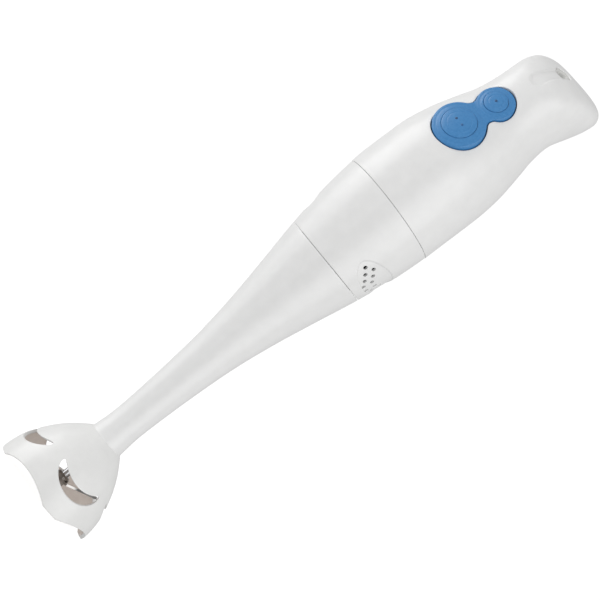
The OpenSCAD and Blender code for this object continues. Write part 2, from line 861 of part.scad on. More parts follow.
handle_shell();
motor_collar();
button_membrane();
switch_carrier();
switch_board();
high_speed_switch();
low_speed_switch();
speed_diode();
suppressor_capacitor();
board_screws();
cord_gland();
cord_clamp();
clamp_screws();
internal_leads();
stator_core();
field_coils();
upper_motor_bracket();
lower_motor_bracket();
motor_screws();
bracket_screws();
motor_cushion();
upper_bearing();
lower_bearing();
brush_holders();
carbon_brushes();
brush_springs();
high_speed_spring();
low_speed_spring();
rotor_shaft();
armature_core();
armature_winding();
commutator();
cooling_fan();
thrust_washers();
drive_dog();
stick_tube();
blade_guard();
upper_bush();
lower_bush();
shaft_seal();
drive_shaft();
coupling_socket();
blade();
blade_spacer();
blade_nut();
high_speed_button();
high_speed_plunger();
low_speed_button();
low_speed_plunger();
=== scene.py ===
"""Looks of a two-speed immersion blender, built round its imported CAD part.

The object stands on its blade guard, Z runs up the motor shaft and the buttons face -Y.
Forms below are in millimetres and become metres as each mesh is made.
"""

import json
import math

import bpy
import numpy as np
from mathutils import Matrix, Vector
from mathutils.bvhtree import BVHTree


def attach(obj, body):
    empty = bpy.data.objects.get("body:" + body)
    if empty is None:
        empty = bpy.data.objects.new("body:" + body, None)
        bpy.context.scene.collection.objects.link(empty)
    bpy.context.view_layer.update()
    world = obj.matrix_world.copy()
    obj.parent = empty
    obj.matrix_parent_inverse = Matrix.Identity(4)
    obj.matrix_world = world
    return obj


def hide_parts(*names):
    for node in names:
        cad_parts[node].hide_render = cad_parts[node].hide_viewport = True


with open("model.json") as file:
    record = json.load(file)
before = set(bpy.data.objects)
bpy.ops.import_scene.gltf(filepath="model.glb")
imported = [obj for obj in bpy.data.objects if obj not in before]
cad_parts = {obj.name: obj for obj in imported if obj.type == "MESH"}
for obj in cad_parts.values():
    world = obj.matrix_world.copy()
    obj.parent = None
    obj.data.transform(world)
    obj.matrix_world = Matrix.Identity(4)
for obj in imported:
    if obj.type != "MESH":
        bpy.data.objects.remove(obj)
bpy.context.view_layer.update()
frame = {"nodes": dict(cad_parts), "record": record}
MM = 0.001

# ------------------------------------------------------------------ forms
# GAP is half of a seam, and SLOPE tilts the seam below the handle
END_Z = 357
STICK_SEAM = 193.5
HANDLE_SEAM = 236
SLOPE = 0.09
GAP = 0.1
WALL = 2.4
GUARD_TOP = 44.3
GUARD_WALL = 2
# how high the arches between the feet are, and their radius
ARCH_H = 5.4
ARCH_R = 36
LUG_COUNT = 3
LUG_WIDTH = 26
SHARP_ANGLE = 38.0

# height, radius
BODY = np.array([
    [44, 10.8], [56, 9.9], [70, 10.1], [95, 11.4], [120, 13.5], [145, 17.2],
    [170, 22], [195, 26.95], [220, 30.7], [245, 32.4], [258, 32.5],
])
# height, radius
GUARD = np.array([
    [0, 32.4], [6, 32], [12, 31], [18, 29.1], [24, 26.3], [30, 23],
    [36, 18.8], [41, 14.4], [44.5, 11],
])
# height, front depth, back depth, half width, squareness
HANDLE = np.array([
    [236, 32.1, 32.1, 32.1, 2], [245, 32.4, 32.4, 32.4, 2], [258, 32.1, 34.5, 32.2, 2],
    [272, 31.2, 36.4, 31.3, 2.1], [286, 27.2, 36.6, 29.2, 2.2], [300, 22.2, 36, 25.6, 2.3],
    [312, 17.6, 35.8, 22.4, 2.3], [323, 14.6, 37, 21.2, 2.3], [334, 12.4, 44.4, 21.4, 2.4],
    [342, 9.2, 48, 22.4, 2.4], [348, 3, 48.6, 22.8, 2.4], [353, -5, 48.2, 22.6, 2.4],
    [358, -14, 47.6, 22.2, 2.4],
])


def read(table, column, x):
    """A smooth curve through one column of a form table."""
    xs, ys = table[:, 0], table[:, column]
    n = len(xs)
    lo, hi = np.maximum(np.arange(n) - 1, 0), np.minimum(np.arange(n) + 1, n - 1)
    slope = (ys[hi] - ys[lo]) / (xs[hi] - xs[lo])
    x = np.asarray(x, float)
    i = np.clip(np.searchsorted(xs, x, "right") - 1, 0, n - 2)
    h = xs[i + 1] - xs[i]
    t = (x - xs[i]) / h
    return (ys[i] * (2 * t**3 - 3 * t**2 + 1) + slope[i] * h * (t**3 - 2 * t**2 + t)
            + ys[i + 1] * (3 * t**2 - 2 * t**3) + slope[i + 1] * h * (t**3 - t**2))


def radius_at(table, z):
    return float(read(table, 1, z))


def smooth(edge0, edge1, x):
    """An eased step from 0 at one edge to 1 at the other."""
    t = np.clip((np.asarray(x, float) - edge0) / (edge1 - edge0), 0, 1)
    return t * t * (3 - 2 * t)


# ------------------------------------------------------------------ meshes
def piece(name, points, faces, materials, which=None):
    """A smooth-shaded object from the points that the faces use, in metres."""
    faces = [list(map(int, f)) for f in faces]
    used = sorted({v for f in faces for v in f})
    number = {v: i for i, v in enumerate(used)}
    mesh = bpy.data.meshes.new(name)
    mesh.from_pydata((np.asarray(points)[used] * MM).tolist(), [],
                     [[number[v] for v in f] for f in faces])
    for m in materials:
        mesh.materials.append(m)
    if which is not None:
        mesh.polygons.foreach_set("material_index", np.asarray(which, np.int32))
    mesh.polygons.foreach_set("use_smooth", np.ones(len(mesh.polygons), bool))
    mesh.validate()
    mesh.set_sharp_from_angle(angle=math.radians(SHARP_ANGLE))
    mesh.update()
    obj = bpy.data.objects.new(name, mesh)
    bpy.context.scene.collection.objects.link(obj)
    return obj


def rows_to_faces(count, columns, closed, base=0):
    """Quads between rows of points; closed joins the last row to the first."""
    faces = []
    j = np.arange(columns)
    k = (j + 1) % columns
    for i in range(count if closed else count - 1):
        a, b = base + i * columns, base + ((i + 1) % count) * columns
        faces.append(np.stack([a + j, a + k, b + k, b + j], 1))
    return np.concatenate(faces)


def ring_at(angles, r, z):
    """One row of points round Z, whose radius and height may vary with the angle."""
    r, z = np.broadcast_to(r, angles.shape), np.broadcast_to(z, angles.shape)
    return np.stack([r * np.cos(angles), r * np.sin(angles), z], 1)


def turned(profile, columns=128):
    """Points and faces of a closed profile, anticlockwise in (r, z), turned about Z."""
    angles = np.arange(columns) * 2 * math.pi / columns
    rows = [ring_at(angles, r, z) for r, z in profile]
    return np.concatenate(rows), rows_to_faces(len(rows), columns, True)


def arc_block(z0, z1, r0, r1, middle, width, steps=14):
    """A block bent round Z, for a bayonet lug."""
    edge = 0.35
    ring = [(r0, z0), (r1 - edge, z0), (r1, z0 + edge), (r1, z1 - edge), (r1 - edge, z1), (r0, z1)]
    points, n = [], len(ring)
    for i in range(steps + 1):
        a = math.radians(middle - width / 2 + width * i / steps)
        points += [(r * math.cos(a), r * math.sin(a), z) for r, z in ring]
    faces = [[i * n + j, i * n + (j + 1) % n, (i + 1) * n + (j + 1) % n, (i + 1) * n + j]
             for i in range(steps) for j in range(n)]
    faces.append(list(range(n))[::-1])
    faces.append([steps * n + j for j in range(n)])
    return np.array(points), [f[::-1] for f in faces]


def bayonet_lugs(z0, z1, r0, r1):
    """Lugs at even angles, as a list of blocks."""
    return [arc_block(z0, z1, r0, r1, 360 / LUG_COUNT * i, LUG_WIDTH) for i in range(LUG_COUNT)]


def joined(parts):
    """One list of points and faces from several."""
    points, faces, base = [], [], 0
    for p, f in parts:
        points.append(np.asarray(p, float))
        faces += [[base + int(v) for v in face] for face in f]
        base += len(p)
    return np.concatenate(points), faces


class Outline:
    """A closed outline in a plane, anticlockwise, with lengths and outward normals."""

    def __init__(self, points):
        self.p = np.asarray(points, float)
        self.d = np.roll(self.p, -1, 0) - self.p
        self.len = np.hypot(self.d[:, 0], self.d[:, 1])
        self.start = np.concatenate([[0], np.cumsum(self.len)])
        self.total = self.start[-1]
        side = np.stack([self.d[:, 1], -self.d[:, 0]], 1) / self.len[:, None]
        self.n = side + np.roll(side, 1, 0)
        self.n /= np.linalg.norm(self.n, axis=1)[:, None]

    def at(self, s, grow=0.0):
        """Points at distances s along the outline, moved outwards by grow."""
        s = np.mod(s, self.total)
        i = np.clip(np.searchsorted(self.start, s, "right") - 1, 0, len(self.p) - 1)
        f = ((s - self.start[i]) / self.len[i])[:, None]
        n = self.n[i] * (1 - f) + self.n[(i + 1) % len(self.p)] * f
        n /= np.linalg.norm(n, axis=1)[:, None]
        return self.p[i] + self.d[i] * f + n * grow

    def nearest(self, q):
        """The distance along the outline of the place nearest to each point."""
        v = q[:, None] - self.p[None]
        f = np.clip((v * self.d).sum(2) / self.len**2, 0, 1)
        gap = np.linalg.norm(v - f[..., None] * self.d, axis=2)
        i = gap.argmin(1)
        return self.start[i] + f[np.arange(len(q)), i] * self.len[i]

    def steps(self, s):
        """Signed distances from each place to the next, the short way round."""
        step = np.diff(np.concatenate([s, s[:1]]))
        return (step + self.total / 2) % self.total - self.total / 2

    def inside(self, q):
        """Which points the outline surrounds."""
        x, y = q[:, 0][:, None], q[:, 1][:, None]
        a, b = self.p, np.roll(self.p, -1, 0)
        cross = (a[:, 1] > y) != (b[:, 1] > y)
        at = a[:, 0] + (y - a[:, 1]) * (b[:, 0] - a[:, 0]) / np.where(
            b[:, 1] == a[:, 1], 1e-9, b[:, 1] - a[:, 1])
        return (cross & (x < at)).sum(1) % 2 == 1


class Skin:
    """Points and quads from which openings with rounded rims are cut.

    A region is a name and a mask of quads: the outer or the inner face of a wall.
    """

    def __init__(self, points, faces):
        self.v = np.array(points, float)
        self.f = np.array(faces)
        self.alive = np.ones(len(self.f), bool)
        self.extra = []
        self.trees = {}

    def tree(self, region):
        """The region as it was before its first opening, for dropping points onto it."""
        name, mask = region
        if name not in self.trees:
            self.trees[name] = BVHTree.FromPolygons(
                self.v.tolist(), [f.tolist() for f in self.f[mask]])
        return self.trees[name]

    def add(self, points):
        base = len(self.v)
        self.v = np.concatenate([self.v, points])
        return np.arange(base, base + len(points))

    def drop(self, tree, basis, ab, reach=80.0):
        """Where lines across the opening's plane meet the skin."""
        o, ea, eb, ew = basis
        out = []
        for a, b in ab:
            p = Vector(o + ea * a + eb * b + ew * reach)
            hit = tree.ray_cast(p, Vector(-ew))[0]
            out.append(np.array(hit) if hit is not None else o + ea * a + eb * b)
        return np.array(out)

    def edge_loop(self, dead, kept):
        """The corners where dead quads meet kept ones, in order round the edge."""
        live = {(f[i], f[(i + 1) % 4]) for f in self.f[kept] for i in range(4)}
        following = {}
        for f in self.f[dead]:
            for i in range(4):
                a, b = f[i], f[(i + 1) % 4]
                if (b, a) in live:
                    following[a] = b
        start = next(iter(following))
        loop, at = [start], following[start]
        while at != start:
            loop.append(at)
            at = following[at]
        return np.array(loop)

    def cut(self, region, basis, outline, grow, least_w, keep_inside=False, height=None):
        """Removes what the grown outline covers and lays the opening's edge on that outline."""
        o, ea, eb, ew = basis
        rel = self.v - o
        ab = np.stack([rel @ ea, rel @ eb], 1)
        w = rel @ ew
        big = Outline(outline.at(outline.start[:-1], grow))
        centre = ab[self.f].mean(1)
        near = region[1] & self.alive & (w[self.f].min(1) > least_w)
        if not keep_inside:
            low, high = big.p.min(0) - 3, big.p.max(0) + 3
            near &= ((centre > low) & (centre < high)).all(1)
        ids = np.flatnonzero(near)
        within = big.inside(centre[ids])
        dead = ids[~within] if keep_inside else ids[within]
        self.alive[dead] = False
        loop = self.edge_loop(dead, np.setdiff1d(ids, dead))
        s = outline.nearest(ab[loop])
        if outline.steps(s).sum() < 0:
            loop, s = loop[::-1], s[::-1]
        # even spacing along the outline, centred on the places nearest to the old corners
        step = np.maximum(outline.steps(s), 0.02)
        for _ in range(12):
            step = (step + np.roll(step, 1) + np.roll(step, -1)) / 3
        step *= outline.total / step.sum()
        even = s[0] + np.concatenate([[0], np.cumsum(step)[:-1]])
        half = outline.total / 2
        even = even + np.median((s - even + half) % outline.total - half)
        place = height or (lambda q: self.drop(self.tree(region), basis, q))
        ab[loop] = outline.at(even, grow)
        self.v[loop] = place(ab[loop])
        self.relax(near & self.alive, loop, ab, place)
        return loop, even

    def relax(self, mask, loop, ab, place, rings=3, rounds=8):
        """Evens out the few rings of points next to an opening."""
        faces = self.f[mask]
        fixed = set(loop.tolist())
        grown = set(fixed)
        for _ in range(rings):
            touch = np.isin(faces, list(grown)).any(1)
            grown |= set(faces[touch].ravel().tolist())
        free = sorted(grown - fixed)
        local = faces[np.isin(faces, free).any(1)]
        pairs = np.concatenate([local[:, [i, (i + 1) % 4]] for i in range(4)])
        pairs = np.unique(np.sort(pairs, 1), axis=0)
        for _ in range(rounds):
            total = np.zeros_like(ab)
            count = np.zeros(len(ab))
            for a, b in ((0, 1), (1, 0)):
                np.add.at(total, pairs[:, a], ab[pairs[:, b]])
                np.add.at(count, pairs[:, a], 1)
            ab[free] = 0.5 * ab[free] + 0.5 * total[free] / count[free][:, None]
        self.v[free] = place(ab[free])

    def face(self, corners, flip):
        self.extra.append(corners[::-1] if flip else corners)

    def strip(self, a, b, flip=False):
        """Quads between two loops with the same count."""
        n = len(a)
        for i in range(n):
            k = (i + 1) % n
            self.face([a[i], a[k], b[k], b[i]], flip)

    def zip(self, a, sa, b, sb, total, flip=False):
        """Triangles between two loops of different counts that follow one outline."""
        shift = int(np.argmin(np.abs((sb - sa[0] + total / 2) % total - total / 2)))
        b, sb = np.roll(b, -shift), np.roll(sb, -shift)
        ra = np.concatenate([(sa - sa[0]) % total, [total]])
        rb = np.concatenate([(sb - sb[0]) % total, [total]])
        i = j = 0
        n, m = len(a), len(b)
        while i < n or j < m:
            if j >= m or (i < n and ra[i + 1] <= rb[j + 1]):
                self.face([a[i], a[(i + 1) % n], b[j % m]], flip)
                i += 1
            else:
                self.face([a[i % n], b[(j + 1) % m], b[j]], flip)
                j += 1

    def opening(self, outer, inner, basis, outline, radius, least_w):
        """Cuts one opening through both skins and lines it with a wall with rounded rims."""
        ew = basis[3]
        tree_o, tree_i = self.tree(outer), self.tree(inner)
        loop_i, s_i = self.cut(inner, basis, outline, radius, least_w)
        last, s_o = self.cut(outer, basis, outline, radius, least_w)
        for turn in (22.5, 45, 67.5, 90):
            t = math.radians(turn)
            flat = outline.at(s_o, radius * (1 - math.sin(t)))
            ids = self.add(self.drop(tree_o, basis, flat) - ew * radius * (1 - math.cos(t)))
            self.strip(last, ids)
            last = ids
        ids = self.add(self.drop(tree_i, basis, outline.at(s_o)) + ew * radius * 0.7)
        self.strip(last, ids)
        self.zip(ids, s_o, loop_i, s_i, outline.total)

    def faces(self):
        return [f.tolist() for f in self.f[self.alive]] + self.extra


def axes(origin, out, up):
    """An opening's plane: its origin, two directions in it and the one that points out."""
    ew = np.array(out, float) / np.linalg.norm(out)
    eb = np.array(up, float)
    eb -= ew * (eb @ ew)
    eb /= np.linalg.norm(eb)
    return np.array(origin, float), np.cross(eb, ew), eb, ew


def rounded(points, radius, passes=3, fine=0.12):
    """A dense outline with its corners softened."""
    p = Outline(points)
    dense = p.at(np.arange(0, p.total, fine))
    span = max(1, int(radius / fine))
    for _ in range(passes):
        total = dense.copy()
        for k in range(1, span + 1):
            total += np.roll(dense, k, 0) + np.roll(dense, -k, 0)
        dense = total / (2 * span + 1)
    q = Outline(dense)
    return Outline(q.at(np.linspace(0, q.total, max(48, int(q.total / 0.3)), endpoint=False)))


def circle(x, y, r, n=48):
    a = np.arange(n) * 2 * math.pi / n
    return Outline(np.stack([x + r * np.cos(a), y + r * np.sin(a)], 1))


# ------------------------------------------------------------------ materials
RELIEF_DEPTH = 0.0002


def finish(name, colour, other, rough, metal=0.0, grain=500.0, stretch=(1, 1, 1), relief=0.03,
           spread=0.05, pattern="noise", spec=0.5):
    """A surface whose colour, gloss and relief vary with a fine pattern."""
    m = bpy.data.materials.new(name)
    m.use_nodes = True
    tree = m.node_tree
    shader = tree.nodes["Principled BSDF"]
    shader.inputs["Metallic"].default_value = metal
    shader.inputs["Specular IOR Level"].default_value = spec
    where = tree.nodes.new("ShaderNodeTexCoord")
    scale = tree.nodes.new("ShaderNodeMapping")
    scale.inputs["Scale"].default_value = stretch
    tree.links.new(where.outputs["Object"], scale.inputs["Vector"])
    if pattern == "bands":
        tex = tree.nodes.new("ShaderNodeTexWave")
        tex.bands_direction = "Z"
        tex.inputs["Distortion"].default_value = 0.4
        height = tex.outputs["Fac"]
    elif pattern == "cells":
        tex = tree.nodes.new("ShaderNodeTexVoronoi")
        height = tex.outputs["Distance"]
    else:
        tex = tree.nodes.new("ShaderNodeTexNoise")
        tex.inputs["Detail"].default_value = 5.0
        height = tex.outputs["Fac"]
    tex.inputs["Scale"].default_value = grain
    tree.links.new(scale.outputs["Vector"], tex.inputs["Vector"])
    ramp = tree.nodes.new("ShaderNodeValToRGB")
    ramp.color_ramp.elements[0].position = 0.3
    ramp.color_ramp.elements[1].position = 0.7
    ramp.color_ramp.elements[0].color = (*colour, 1)
    ramp.color_ramp.elements[1].color = (*other, 1)
    tree.links.new(height, ramp.inputs["Fac"])
    tree.links.new(ramp.outputs["Color"], shader.inputs["Base Color"])
    gloss = tree.nodes.new("ShaderNodeMapRange")
    gloss.inputs["To Min"].default_value = max(0.02, rough - spread)
    gloss.inputs["To Max"].default_value = rough + spread
    tree.links.new(height, gloss.inputs["Value"])
    tree.links.new(gloss.outputs["Result"], shader.inputs["Roughness"])
    bump = tree.nodes.new("ShaderNodeBump")
    bump.inputs["Strength"].default_value = relief
    bump.inputs["Distance"].default_value = RELIEF_DEPTH
    tree.links.new(height, bump.inputs["Height"])
    tree.links.new(bump.outputs["Normal"], shader.inputs["Normal"])
    return m


white = finish("white_plastic", (0.80, 0.80, 0.795), (0.83, 0.83, 0.825), 0.34, grain=160,
               relief=0.012, spread=0.03)
guard_white = finish("white_guard_plastic", (0.80, 0.80, 0.79), (0.83, 0.83, 0.82), 0.34,
                     grain=180, relief=0.015, spread=0.03)
# painted shade: the bell's inner face is tinted warm and a little darker than the outer white,
# standing in for the brownish shade that falls inside it
guard_inside_painted_shade = finish("guard_inside_painted_shade", (0.76, 0.68, 0.62), (0.82, 0.74, 0.68), 0.36, grain=220,
                      relief=0.03, spread=0.06)
blue = finish("blue_rubber", (0.046, 0.21, 0.48), (0.066, 0.25, 0.53), 0.36, grain=900,
              relief=0.05, spread=0.05, spec=0.45)
blue_dot = finish("blue_dot", (0.025, 0.12, 0.30), (0.035, 0.14, 0.34), 0.4, grain=900, relief=0.04)
dark_dot = finish("dark_dot", (0.02, 0.07, 0.17), (0.03, 0.09, 0.21), 0.4, grain=900, relief=0.04)

SLOTS = {
    "white_shell": white,
    "white_guard": guard_white,
    "blue_soft": blue,
    "black_plastic": finish("black_plastic", (0.022, 0.022, 0.024), (0.035, 0.035, 0.038), 0.42,
                            grain=900, relief=0.08),
    "frame_plastic": finish("frame_plastic", (0.62, 0.62, 0.60), (0.68, 0.68, 0.66), 0.45,
                            grain=700, relief=0.06),
    "board": finish("circuit_board", (0.03, 0.16, 0.05), (0.06, 0.26, 0.09), 0.35, grain=420,
                    pattern="cells", relief=0.08),
    "capacitor_case": finish("capacitor_case", (0.72, 0.5, 0.06), (0.8, 0.58, 0.1), 0.3,
                             grain=500, relief=0.05),
    "steel": finish("zinc_steel", (0.52, 0.53, 0.55), (0.64, 0.65, 0.67), 0.3, metal=1.0,
                    grain=900, relief=0.05, spread=0.08),
    "blade_steel": finish("blade_steel", (0.22, 0.215, 0.21), (0.4, 0.39, 0.38), 0.16, metal=1.0,
                          grain=420, stretch=(1, 1, 0.06), relief=0.05, spread=0.07),
    "black_rubber": finish("black_rubber", (0.016, 0.016, 0.017), (0.028, 0.028, 0.03), 0.62,
                           grain=1200, relief=0.15),
    "white_rubber": finish("white_rubber", (0.66, 0.66, 0.64), (0.74, 0.74, 0.72), 0.6,
                           grain=1200, relief=0.12),
    "lead_insulation": finish("lead_insulation", (0.20, 0.08, 0.03), (0.27, 0.11, 0.05), 0.45,
                              grain=700, relief=0.05),
    "laminations": finish("laminations", (0.16, 0.16, 0.17), (0.42, 0.43, 0.45), 0.4, metal=1.0,
                          grain=320, pattern="bands", relief=0.25),
    "copper_wire": finish("copper_wire", (0.36, 0.11, 0.03), (0.72, 0.32, 0.12), 0.32, metal=1.0,
                          grain=260, pattern="bands", relief=0.4),
    "copper_bars": finish("copper_bars", (0.62, 0.28, 0.12), (0.74, 0.38, 0.2), 0.25, metal=1.0,
                          grain=1500, stretch=(1, 1, 0.1), relief=0.06),
    "cast_bracket": finish("cast_bracket", (0.48, 0.49, 0.50), (0.6, 0.61, 0.62), 0.48, metal=1.0,
                           grain=800, relief=0.2),
    "bronze": finish("sintered_bronze", (0.42, 0.26, 0.11), (0.55, 0.36, 0.17), 0.42, metal=1.0,
                     grain=1500, relief=0.15),
    "brass": finish("stamped_brass", (0.68, 0.5, 0.2), (0.78, 0.6, 0.28), 0.28, metal=1.0,
                    grain=900, relief=0.06),
    "carbon": finish("carbon", (0.02, 0.02, 0.021), (0.05, 0.05, 0.052), 0.55, grain=1500,
                     relief=0.2),
}

# ------------------------------------------------------------------ stick
BORE_R = 4.5
WEB_R = 7.2
SPIGOT_R = 8
SOCKET_R = 21.6
SOCKET_Z = 180
STICK_LOW = 34
WEB_LOW, WEB_HIGH = 162, 174

stick_top = STICK_SEAM - GAP
top_r = radius_at(BODY, stick_top)
outside = [(radius_at(BODY, z), float(z)) for z in np.arange(GUARD_TOP, stick_top - 1.2, 1.5)]
upper_inside = [(radius_at(BODY, z) - WALL, float(z)) for z in np.arange(169, 179.5, 2)[::-1]]
lower_inside = [(radius_at(BODY, z) - WALL, float(z)) for z in np.arange(54, 165.5, 3)[::-1]]
profile = (
    [(4.8, STICK_LOW), (SPIGOT_R - 0.3, STICK_LOW), (SPIGOT_R, STICK_LOW + 0.3), (SPIGOT_R, 43.8)]
    + outside
    + [(radius_at(BODY, stick_top - 0.4), stick_top - 0.4), (top_r - 0.1, stick_top - 0.12),
       (top_r - 0.25, stick_top)]
    + [(SOCKET_R + 0.3, stick_top), (SOCKET_R, stick_top - 0.3), (SOCKET_R, SOCKET_Z)]
    + upper_inside
    + [(WEB_R, 169), (WEB_R, WEB_HIGH - 0.3), (WEB_R - 0.3, WEB_HIGH), (BORE_R, WEB_HIGH),
       (BORE_R, WEB_LOW), (WEB_R, WEB_LOW), (WEB_R, 166)]
    + lower_inside
    + [(6, 48.5), (BORE_R, 48.5), (BORE_R, STICK_LOW + 0.3)]
)
# the stick's lugs point inwards from the socket wall
stick = piece("stick_body", *joined([turned(profile, 144)]
                                    + bayonet_lugs(187.8, 190.2, 20.2, 22.0)), [white])
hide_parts("stick_tube")
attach(stick, "stick")

# ------------------------------------------------------------------ blade guard
EDGE = 0.45
LIP_Z = 9.0
WINDOW_HALF, WINDOW_DEEP, WINDOW_TOP = 14.7, 9.9, 22.5
SMILE_R, SMILE_LOW = 22.8, 19.6

guard_angles = np.arange(432) * 2 * math.pi / 432


def guard_ring(z, inset=0.0):
    return ring_at(guard_angles, read(GUARD, 1, z) - inset, z)


def arch(radius):
    """How high the guard's lower edge is lifted between its feet."""
    side = np.minimum(np.abs(np.cos(guard_angles)), np.abs(np.sin(guard_angles))) * radius
    return np.maximum(0, ARCH_H - ARCH_R + np.sqrt(ARCH_R**2 - side**2))


def window_outline():
    """A crescent: the lower half of an ellipse under a shallower arc."""
    under = [(WINDOW_HALF * math.cos(math.radians(a)),
              WINDOW_TOP + WINDOW_DEEP * math.sin(math.radians(a))) for a in range(180, 361, 6)]
    over = [(x, SMILE_LOW + SMILE_R - math.sqrt(SMILE_R**2 - x * x))
            for x in np.linspace(14.1, -14.1, 31)]
    return rounded(under + over, 1.1)


low_outer, low_inner = arch(32.3) + EDGE, arch(30.3) + EDGE
rows = []
for turn in (90, 60, 30):
    t = math.radians(turn)
    rows.append(guard_ring(low_outer - EDGE * math.sin(t), EDGE * (1 - math.cos(t))))
outer_first = len(rows)
rows += [guard_ring(low_outer + (LIP_Z - low_outer) * i / 15) for i in range(15)]
rows += [guard_ring(z) for z in np.arange(LIP_Z, GUARD_TOP - 0.4, 0.5)]
outer_last = len(rows) - 1
top_r = radius_at(GUARD, GUARD_TOP)
crown = [(top_r, GUARD_TOP - 0.25), (top_r - 0.15, GUARD_TOP), (8.3, GUARD_TOP),
         (8.05, GUARD_TOP - 0.25)]
hub = [(8.05, 33.8), (6.6, 33.8), (6.6, 29.5), (3.4, 29.5), (3.4, 27.3), (3.7, 27), (8.6, 27),
       (9, 27.4), (9.2, 31), (9.4, 35.6), (9.9, 36.6)]
roof = [(11, 37.2), (12.2, 37.1), (14, 36.75), (15.6, 36.35)]
rows += [ring_at(guard_angles, r, z) for r, z in crown + hub + roof]
inner_first = len(rows)
rows += [guard_ring(z, GUARD_WALL) for z in np.arange(36.0, LIP_Z + 0.1, -0.5)]
rows += [guard_ring(LIP_Z + (low_inner - LIP_Z) * i / 15, GUARD_WALL) for i in range(16)]
inner_last = len(rows) - 1
for turn in (30, 60, 90):
    t = math.radians(turn)
    rows.append(guard_ring(low_inner - EDGE * math.sin(t),
                           GUARD_WALL - EDGE * (1 - math.cos(t))))

guard = Skin(np.concatenate(rows), rows_to_faces(len(rows), len(guard_angles), True))
face_row = np.arange(len(guard.f)) // len(guard_angles)
outer = ("outer", (face_row >= outer_first) & (face_row < outer_last))
inner = ("inner", (face_row >= inner_first) & (face_row < inner_last))
for turn in range(45, 360, 90):
    a = math.radians(turn)
    guard.opening(outer, inner, axes((0, 0, 0), (math.cos(a), math.sin(a), 0), (0, 0, 1)),
                  window_outline(), EDGE, 5.0)
# the inner face takes the second material, a warmer and slightly darker white that paints the
# brownish shade inside the bell, from the hub's foot to the lower rim
kept_rows = face_row[guard.alive]
which = ((kept_rows >= outer_last + 10) & (kept_rows <= inner_last)).astype(int).tolist()
which += [0] * len(guard.extra)
guard_piece = piece("guard_shell", guard.v, guard.faces(), [guard_white, guard_inside_painted_shade], which)
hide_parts("blade_guard")
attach(guard_piece, "stick")

# ------------------------------------------------------------------ motor collar
PANEL_HALF, PANEL_TALL, PANEL_Z, PANEL_DEPTH = 38.5, 8.4, 207.2, 0.6
# height of the middle and number of holes to each side
VENT_ROWS = ((200, 4), (205.1, 3))
VENT_FIRST, VENT_PITCH, VENT_RISE, VENT_R = 5.5, 8.1, 2.35, 1.15
LIP_TOP, LIP_LOW, LIP_WALL = 243, 228, 1.6
FLOOR_Z = 196.25
SHAFT_HOLE_R = 8.3
SPIGOT_IN, SPIGOT_OUT, SPIGOT_Z = 17.6, 19.8, 184

# finer columns across the two vent panels
columns = [np.arange(start, stop - step / 2, step) for start, stop, step in
           ((-42, 42, 0.55), (42, 138, 1.6), (138, 222, 0.55), (222, 318, 1.6))]
collar_degrees = np.concatenate(columns)
collar_angles = np.radians(collar_degrees)
collar_low = STICK_SEAM + GAP
top_z = HANDLE_SEAM - GAP - SLOPE * 31.9 * np.sin(collar_angles)


def collar_ring(z, inset=0.0):
    return ring_at(collar_angles, read(BODY, 1, z) - inset, z)


def panel_drop(z):
    """How far the vent panel lies under the collar's surface."""
    side = np.minimum(np.abs((collar_degrees + 180) % 360 - 180),
                      np.abs(collar_degrees % 360 - 180))
    reach = np.sqrt((side / PANEL_HALF)**2 + ((z - PANEL_Z) / PANEL_TALL)**2)
    return PANEL_DEPTH * smooth(1.035, 0.965, reach)


rows = [ring_at(collar_angles, read(BODY, 1, collar_low) - inset, collar_low + rise)
        for inset, rise in ((0.2, 0), (0.06, 0.08))]
outer_first = len(rows)
levels = np.concatenate([np.arange(collar_low + 0.45, 197, 0.5), np.arange(197, 217.5, 0.33),
                         np.arange(217.5, 226, 1.0)])
rows += [collar_ring(z, panel_drop(z)) for z in levels]
rows += [collar_ring(levels[-1] + (top_z - 0.3 - levels[-1]) * i / 10) for i in range(1, 11)]
outer_last = len(rows) - 1
rows += [ring_at(collar_angles, read(BODY, 1, top_z) - 0.06, top_z - 0.08),
         ring_at(collar_angles, read(BODY, 1, top_z) - 0.2, top_z)]
lip_r = radius_at(BODY, HANDLE_SEAM) - WALL - 0.15
lip_profile = [(lip_r, top_z), (lip_r, LIP_TOP - 0.3), (lip_r - 0.3, LIP_TOP),
               (lip_r - LIP_WALL, LIP_TOP), (lip_r - LIP_WALL, LIP_LOW),
               (radius_at(BODY, LIP_LOW) - WALL, LIP_LOW)]
rows += [ring_at(collar_angles, r, z) for r, z in lip_profile]
inner_first = len(rows)
rows += [collar_ring(z, WALL) for z in np.concatenate([np.arange(226, 217.5, -1.0),
                                                       np.arange(217.5, 196.4, -0.4)])]
inner_last = len(rows) - 1
floor_profile = [(radius_at(BODY, FLOOR_Z) - WALL - 0.2, FLOOR_Z), (SHAFT_HOLE_R, FLOOR_Z),
                 (SHAFT_HOLE_R, collar_low), (SPIGOT_IN, collar_low),
                 (SPIGOT_IN, SPIGOT_Z + 0.3), (SPIGOT_IN + 0.3, SPIGOT_Z),
                 (SPIGOT_OUT - 0.3, SPIGOT_Z), (SPIGOT_OUT, SPIGOT_Z + 0.3),
                 (SPIGOT_OUT, collar_low)]
rows += [ring_at(collar_angles, r, z) for r, z in floor_profile]
collar = Skin(np.concatenate(rows), rows_to_faces(len(rows), len(collar_angles), True))
face_row = np.arange(len(collar.f)) // len(collar_angles)
outer = ("outer", (face_row >= outer_first) & (face_row < outer_last))
inner = ("inner", (face_row >= inner_first) & (face_row < inner_last))
